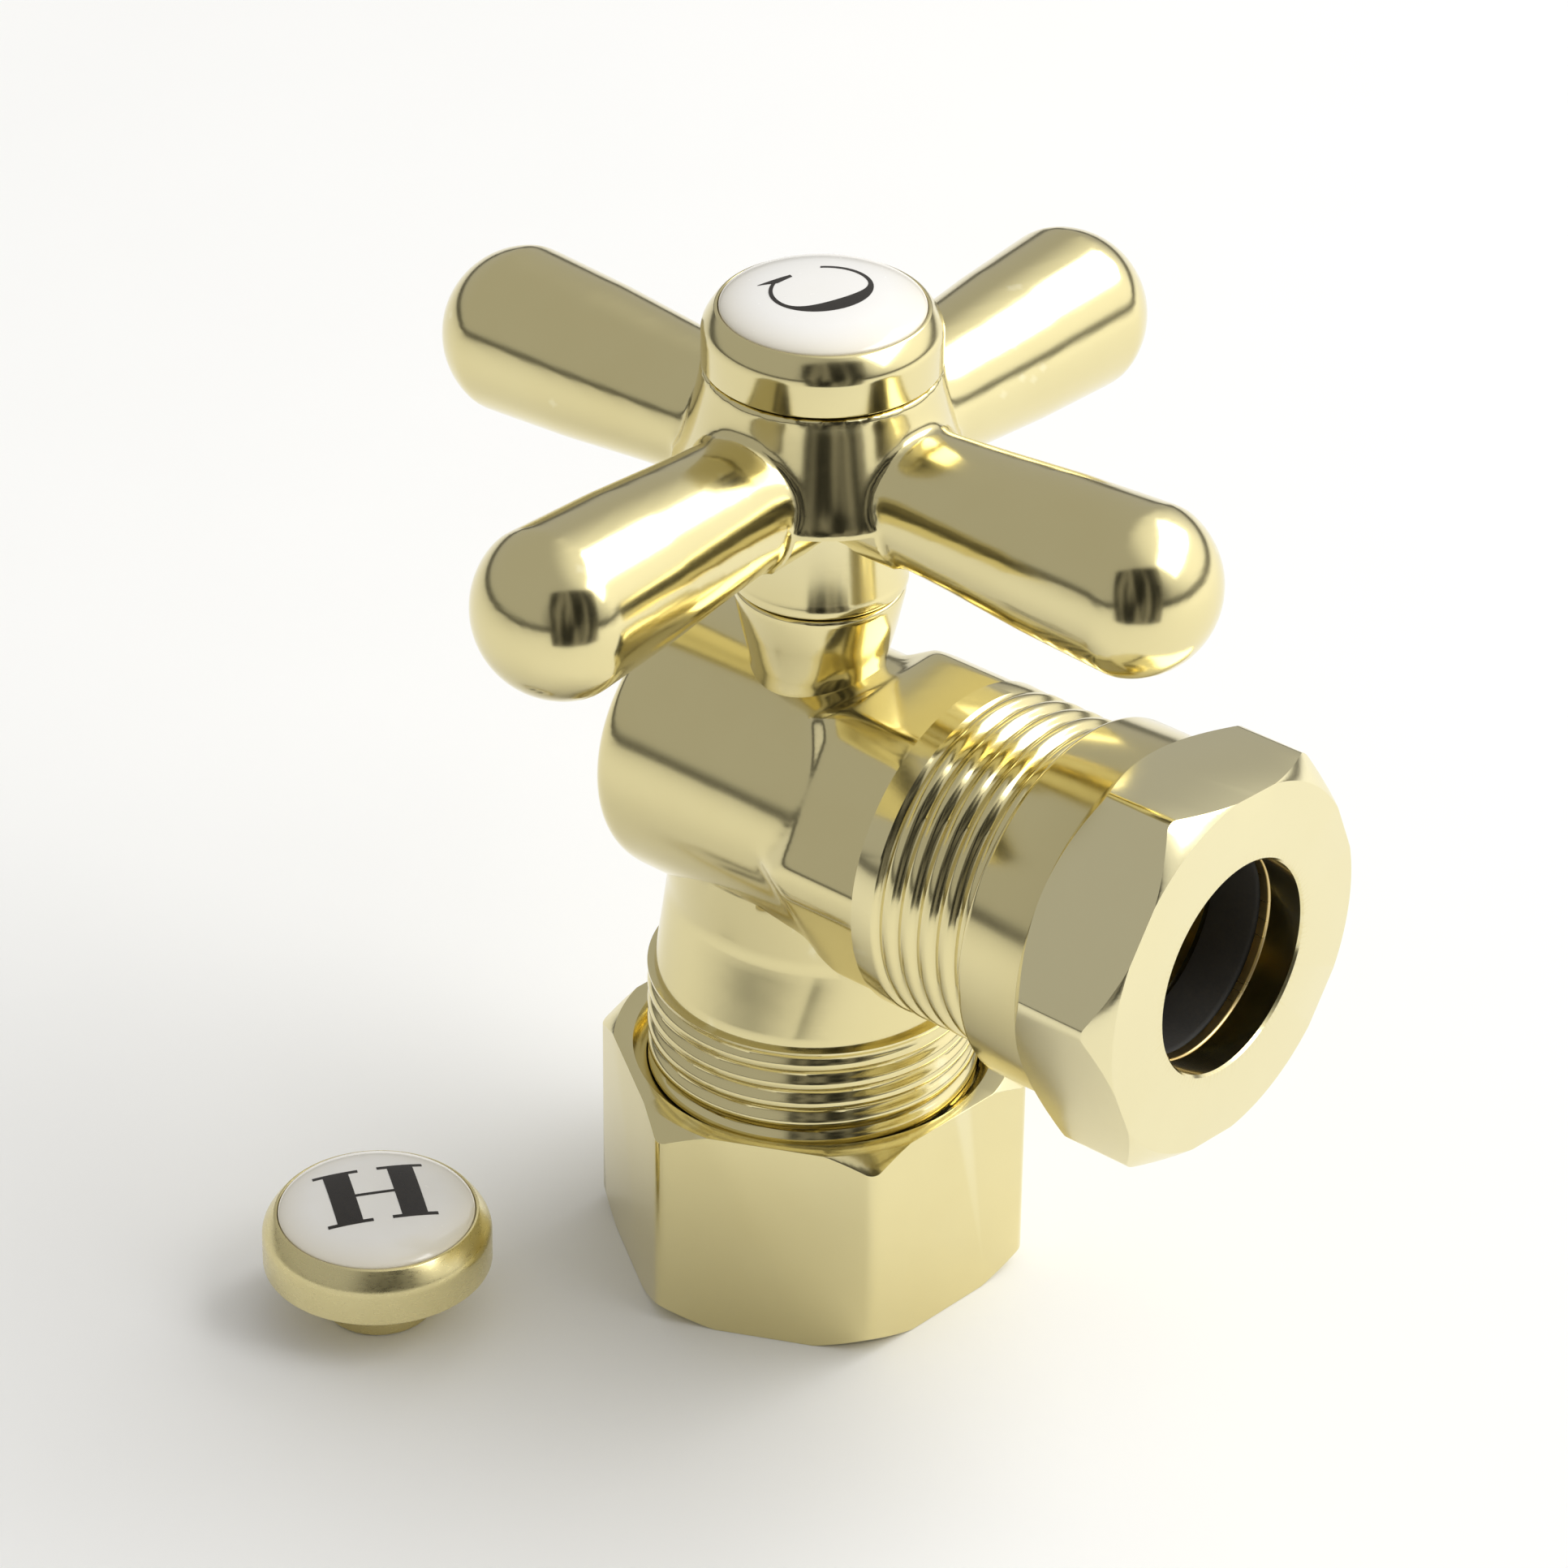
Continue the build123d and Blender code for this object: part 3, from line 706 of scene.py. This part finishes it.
def glazed_porcelain(name, top):
    """White porcelain under a clear glaze, faintly mottled, with painted warm shade down the
    dome's edge.
    """
    china = Finish(bpy.data.materials.new(name))
    mottle = china.noise(0.35, detail=4.0)
    pits = china.noise(2.2, detail=2.0)
    colour = china.blend(mottle, (0.97, 0.96, 0.93, 1), (0.93, 0.91, 0.865, 1))
    height = china.node("ShaderNodeSeparateXYZ", None, {"Vector": china.where()}, output="Z")
    # Painted shade: the colour turns warmer and darker the further the dome falls below its top.
    painted_edge_shade = ((top - height) * 1.3 - 0.35).clamped()
    colour = china.blend(painted_edge_shade * 0.85, colour, (0.86, 0.79, 0.62, 1))
    return china.surface(
        {"Base Color": colour, "Roughness": 0.20 + pits * 0.10, "Coat Weight": 1.0,
         "Coat Roughness": 0.04},
        bump=mottle + pits * 0.1, depth=0.01)


dome_height = 1.01
dome_flatness = 2.6
dome_edge = 0.62
enamel_room = 0.04
porcelain_r = 6.10


def dome_drop(r):
    """How far the dome lies below the top of its CAD box, at a distance from its middle."""
    share = (1 - (r / porcelain_r) ** dome_flatness) ** dome_edge
    return enamel_room + dome_height * (1 - share)


def button_rim(name, node, body, finish):
    """Turn the cup about Z and set it on the axis of its node."""
    low, high = box_mm(node)
    band_r = (high[0] - low[0]) / 2
    plug_r = stub_r - 0.06
    well_r = porcelain_r + 0.05
    shoulder = low[2] + 3.8
    band_foot = shoulder - 0.18
    well_floor = shoulder + 1.2
    cup = turn(
        name,
        [(0, low[2]), (plug_r, low[2]), (plug_r, shoulder), (band_r - 0.9, shoulder),
         (band_r - 0.7, band_foot), (band_r, band_foot), (band_r, shoulder + 2.15),
         (band_r - 0.30, shoulder + 2.75), (band_r - 0.82, high[2]), (well_r, high[2]),
         (well_r, well_floor), (0, well_floor)],
        rounds=[(1, 0.35), (5, 0.15), (6, 0.3), (7, 0.4), (8, 0.12), (9, 0.06)])
    place(cup, ((low[0] + high[0]) / 2, (low[1] + high[1]) / 2, 0))
    settle(cup, body, node, finish)


def button_disc(name, node, body):
    """Turn the domed disc about Z and set it on the axis of its node."""
    low, high = box_mm(node)
    edge = high[2] - enamel_room - dome_height
    dome = []
    for k in range(19, -1, -1):
        r = porcelain_r * sin(pi / 2 * k / 20)
        dome.append((r, high[2] - dome_drop(r)))
    disc = turn(name, [(0, low[2]), (porcelain_r, low[2]), (porcelain_r, edge)] + dome)
    place(disc, ((low[0] + high[0]) / 2, (low[1] + high[1]) / 2, 0))
    settle(disc, body, node, glazed_porcelain(name + "_glaze", high[2]))


rim_brass = polished_brass("rim_brass", wave=0.004)
handled_brass = polished_brass("handled_brass", wave=0.03, scuff=0.24, tone=0.9)
button_rim("cold_rim", "cold_button_rim", "cold_button", rim_brass)
button_disc("cold_disc", "cold_button_porcelain", "cold_button")
button_rim("spare_rim", "spare_button_rim", "spare_button", handled_brass)
button_disc("spare_disc", "spare_button_porcelain", "spare_button")

gasket_low, gasket_high = box_mm("button_washer")
gasket = turn(
    "button_gasket",
    [(stub_r, gasket_low[2]), (gasket_high[0], gasket_low[2]), (gasket_high[0], gasket_high[2]),
     (stub_r, gasket_high[2]), (stub_r, gasket_low[2])],
    rounds=[(1, 0.2), (2, 0.2)], steps=96)
settle(gasket, "cold_button", "button_washer", seal_rubber)


# --- Index letters ---------------------------------------------------------------------------
# A serif C and a serif H, fired on the glaze in brown-black enamel a few hundredths thick.

enamel = Finish(bpy.data.materials.new("enamel"))
enamel_mottle = enamel.noise(3.0, detail=3.0)
enamel_colour = enamel.blend(enamel_mottle, (0.010, 0.008, 0.006, 1), (0.022, 0.017, 0.012, 1))
enamel_black = enamel.surface(
    {"Base Color": enamel_colour, "Roughness": 0.22 + enamel_mottle * 0.15},
    bump=enamel_mottle, depth=0.004)
enamel_thickness = 0.03


def stroke(corners, columns, rows):
    """A patch of enamel between four corners, in the letter's own plane."""
    bpy.ops.object.select_all(action="DESELECT")
    bpy.ops.mesh.primitive_grid_add(x_subdivisions=columns, y_subdivisions=rows, size=1)
    patch = bpy.context.active_object
    (ax, ay), (bx, by), (cx, cy), (dx, dy) = corners
    for v in patch.data.vertices:
        s, t = v.co.x + 0.5, v.co.y + 0.5
        v.co.x = (ax * (1 - s) + bx * s) * (1 - t) + (dx * (1 - s) + cx * s) * t
        v.co.y = (ay * (1 - s) + by * s) * (1 - t) + (dy * (1 - s) + cy * s) * t
    return patch


def fire_letter(name, patches, node, body, angle, rise=0):
    """Join a letter's strokes, turn it, lay it on the dome and give it its thickness."""
    letter = patches[0]
    only(letter)
    for patch in patches[1:]:
        patch.select_set(True)
    bpy.ops.object.join()
    letter.name = name
    letter.data.name = name
    bpy.ops.object.mode_set(mode="EDIT")
    bpy.ops.mesh.select_all(action="SELECT")
    bpy.ops.mesh.remove_doubles(threshold=0.002)
    bpy.ops.object.mode_set(mode="OBJECT")
    low, high = box_mm(node)
    place(letter, (0, rise, 0))
    place(letter, turned=(0, 0, angle))
    for v in letter.data.vertices:
        v.co.z = high[2] - dome_drop(sqrt(v.co.x ** 2 + v.co.y ** 2))
    bpy.ops.object.modifier_add(type="SOLIDIFY")
    coat = letter.modifiers[-1]
    coat.thickness = 2 * enamel_thickness
    coat.offset = 0
    bpy.ops.object.modifier_apply(modifier=coat.name)
    place(letter, ((low[0] + high[0]) / 2, (low[1] + high[1]) / 2, 0))
    only(letter)
    letter.scale = (MM, MM, MM)
    bpy.ops.object.transform_apply(location=True, rotation=True, scale=True)
    letter.data.materials.append(enamel_black)
    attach(letter, body)


# The C is a strip between an outer and an inner oval, thick at its back and thin at its ends.
c_height = 6.3
c_width = 5.4
c_offset = 0.25
thin, thickening = 0.20, 0.88
upper_end, lower_end = 40, 336
bpy.ops.object.select_all(action="DESELECT")
bpy.ops.mesh.primitive_grid_add(x_subdivisions=48, y_subdivisions=3, size=1)
bow = bpy.context.active_object
for v in bow.data.vertices:
    s, t = v.co.x + 0.5, v.co.y + 0.5
    a = radians(upper_end + (lower_end - upper_end) * s)
    weight = max(0.0, -cos(a - 0.2))
    thickness = thin + thickening * weight
    outer_x, outer_y = c_width / 2 * cos(a), c_height / 2 * sin(a)
    inner_x, inner_y = (c_width / 2 - thickness * 0.95) * cos(a), (c_height / 2 - 0.24) * sin(a)
    v.co.x = inner_x + (outer_x - inner_x) * t + c_offset
    v.co.y = inner_y + (outer_y - inner_y) * t
    v.co.z = 0
tip_x = c_width / 2 * cos(radians(upper_end)) + c_offset
tip_y = c_height / 2 * sin(radians(upper_end))
serif = stroke([(tip_x - 0.32, tip_y - 0.10), (tip_x - 0.04, tip_y - 1.20),
                (tip_x + 0.22, tip_y - 1.20), (tip_x + 0.14, tip_y + 1.00)], 5, 8)
fire_letter("letter_c", [bow, serif], "cold_button_porcelain", "cold_button", 158)


# The H is two stems with hairline serifs, joined by a hairline bar.
stem_w, stem_h, stem_gap = 1.6, 5.5, 4.05
hair = 0.26
serif_reach = 0.62
h_strokes = []
for side in (-1, 1):
    cx = side * stem_gap / 2
    half_w, half_h = stem_w / 2, stem_h / 2 - hair
    h_strokes.append(stroke([(cx - half_w, -half_h), (cx + half_w, -half_h), (cx + half_w, half_h),
                             (cx - half_w, half_h)], 6, 20))
    for end in (-1, 1):
        foot = half_w + serif_reach
        inner, outer = end * half_h, end * (half_h + hair)
        low_y, high_y = min(inner, outer), max(inner, outer)
        h_strokes.append(stroke([(cx - foot, low_y), (cx + foot, low_y), (cx + foot, high_y),
                                 (cx - foot, high_y)], 12, 2))
bar = stem_gap / 2 - stem_w / 2
h_strokes.append(stroke([(-bar, -0.1), (bar, -0.1), (bar, 0.12), (-bar, 0.12)], 12, 2))
fire_letter("letter_h", h_strokes, "spare_button_porcelain", "spare_button", 54, rise=0.35)


# --- Studio ----------------------------------------------------------------------------------
# A pale floor, a grey-white surround that is brighter where the light comes from and dark along
# the horizon, one broad soft light, and one dark card that only the polish reflects.

bpy.ops.object.select_all(action="DESELECT")
bpy.ops.mesh.primitive_plane_add(size=6, location=(0, 0, -0.00002))
floor = bpy.context.active_object
floor.name = "studio_floor"
paper = Finish(bpy.data.materials.new("floor_paper"))
fibre = paper.noise(0.05, detail=3.0)
paper_colour = paper.blend(fibre, (0.93, 0.93, 0.92, 1), (0.95, 0.95, 0.94, 1))
floor.data.materials.append(paper.surface({"Base Color": paper_colour, "Roughness": 0.75}))

surround = Finish(bpy.data.worlds.new("surround"))
outward = surround.node("ShaderNodeTexCoord", output="Generated")


def glow_towards(azimuth, elevation, inner, outer):
    """1 within an angle of a bearing, fading smoothly to 0 at a wider angle."""
    a, e = radians(azimuth), radians(elevation)
    bearing = (cos(a) * cos(e), sin(a) * cos(e), sin(e))
    closeness = surround.node("ShaderNodeVectorMath", {"operation": "DOT_PRODUCT"},
                              {0: outward, 1: bearing}, output="Value")
    return surround.node(
        "ShaderNodeMapRange", {"interpolation_type": "SMOOTHSTEP"},
        {"Value": closeness, "From Min": cos(radians(outer)), "From Max": cos(radians(inner))})


ambient = 0.47
window_light = 0.60 * glow_towards(50, 42, 24, 62)
low_light = 0.20 * glow_towards(60, 5, 10, 55)
dark_corner = 0.60 * glow_towards(-38, 14, 16, 40)
upward = surround.node("ShaderNodeSeparateXYZ", None, {"Vector": outward}, output="Z")
skirting = surround.node("ShaderNodeMapRange", {"interpolation_type": "SMOOTHSTEP"},
                         {"Value": upward, "From Min": 0.16, "From Max": 0.05})
brightness = (ambient + window_light + low_light) * (1.0 - dark_corner)
brightness = brightness * (1.0 - 0.80 * skirting)
sky = surround.node("ShaderNodeBackground", None,
                    {"Color": (1.0, 0.99, 0.97, 1), "Strength": brightness})
surround.node("ShaderNodeOutputWorld", None, {"Surface": sky})
bpy.context.scene.world = surround.owner


def aim(obj, azimuth, elevation, distance, target=(0, 0, 0.034)):
    """Put an object at a bearing from the target, turned to face it."""
    a, e = radians(azimuth), radians(elevation)
    back = (cos(a) * cos(e), sin(a) * cos(e), sin(e))
    obj.location = [t + distance * b for t, b in zip(target, back)]
    right = (-sin(a), cos(a), 0)
    up = (-cos(a) * sin(e), -sin(a) * sin(e), cos(e))
    obj.rotation_euler = Matrix((right, up, back)).transposed().to_euler()


# A broad area light that reads as an even white panel in the polish.
key_width, key_height, key_radiance = 1.1, 0.5, 3.4
key_lamp = bpy.data.lights.new("key_box", "AREA")
key_lamp.shape = "RECTANGLE"
key_lamp.size = key_width
key_lamp.size_y = key_height
key_lamp.energy = key_radiance * pi * key_width * key_height
key_box = bpy.data.objects.new("key_box", key_lamp)
bpy.context.scene.collection.objects.link(key_box)
aim(key_box, 45, 46, 0.9)

# A card of dark folded cloth in front, which only the polish reflects.
bpy.ops.object.select_all(action="DESELECT")
bpy.ops.mesh.primitive_plane_add(size=1)
board = bpy.context.active_object
board.name = "dark_board"
board.scale = (0.17, 0.24, 1)
bpy.ops.object.transform_apply(location=True, rotation=True, scale=True)
aim(board, -40, 16, 0.17)
tint = Finish(bpy.data.materials.new("board_cloth"))
folds = ((tint.noise(0.045, detail=3.0, stretch=(1, 0.12, 1)) - 0.5) * 6.0 + 0.25).clamped()
glow = tint.node("ShaderNodeEmission", None,
                 {"Color": tint.blend(folds, (0.012, 0.012, 0.010, 1), (0.26, 0.25, 0.23, 1))})
tint.node("ShaderNodeOutputMaterial", None, {"Surface": glow})
board.data.materials.append(tint.owner)
board.visible_camera = False
board.visible_diffuse = False
board.visible_shadow = False
board.visible_transmission = False

camera_azimuth = 39.309
camera_elevation = 32.567
camera_roll = 0.708
camera_distance = 0.3998
camera_aim = (-0.00063, -0.00052, 0.033265)
a, e, roll = radians(camera_azimuth), radians(camera_elevation), radians(camera_roll)
back = (sin(a) * cos(e), -cos(a) * cos(e), sin(e))
right = (cos(a), sin(a), 0)
up = (-sin(a) * sin(e), cos(a) * sin(e), cos(e))
tilted_right = [cos(roll) * r + sin(roll) * u for r, u in zip(right, up)]
tilted_up = [cos(roll) * u - sin(roll) * r for r, u in zip(right, up)]
lens = bpy.data.cameras.new("camera")
lens.lens = 151.0
lens.sensor_width = 36.0
lens.shift_x = -0.0122
lens.shift_y = 0.0013
lens.clip_start = 0.01
lens.clip_end = 20.0
camera = bpy.data.objects.new("camera", lens)
stand = [t + camera_distance * b for t, b in zip(camera_aim, back)]
facing = Matrix((tilted_right, tilted_up, back)).transposed().to_4x4()
camera.matrix_world = Matrix.Translation(stand) @ facing
bpy.context.scene.collection.objects.link(camera)
bpy.context.scene.camera = camera
bpy.context.scene.view_settings.view_transform = "Standard"
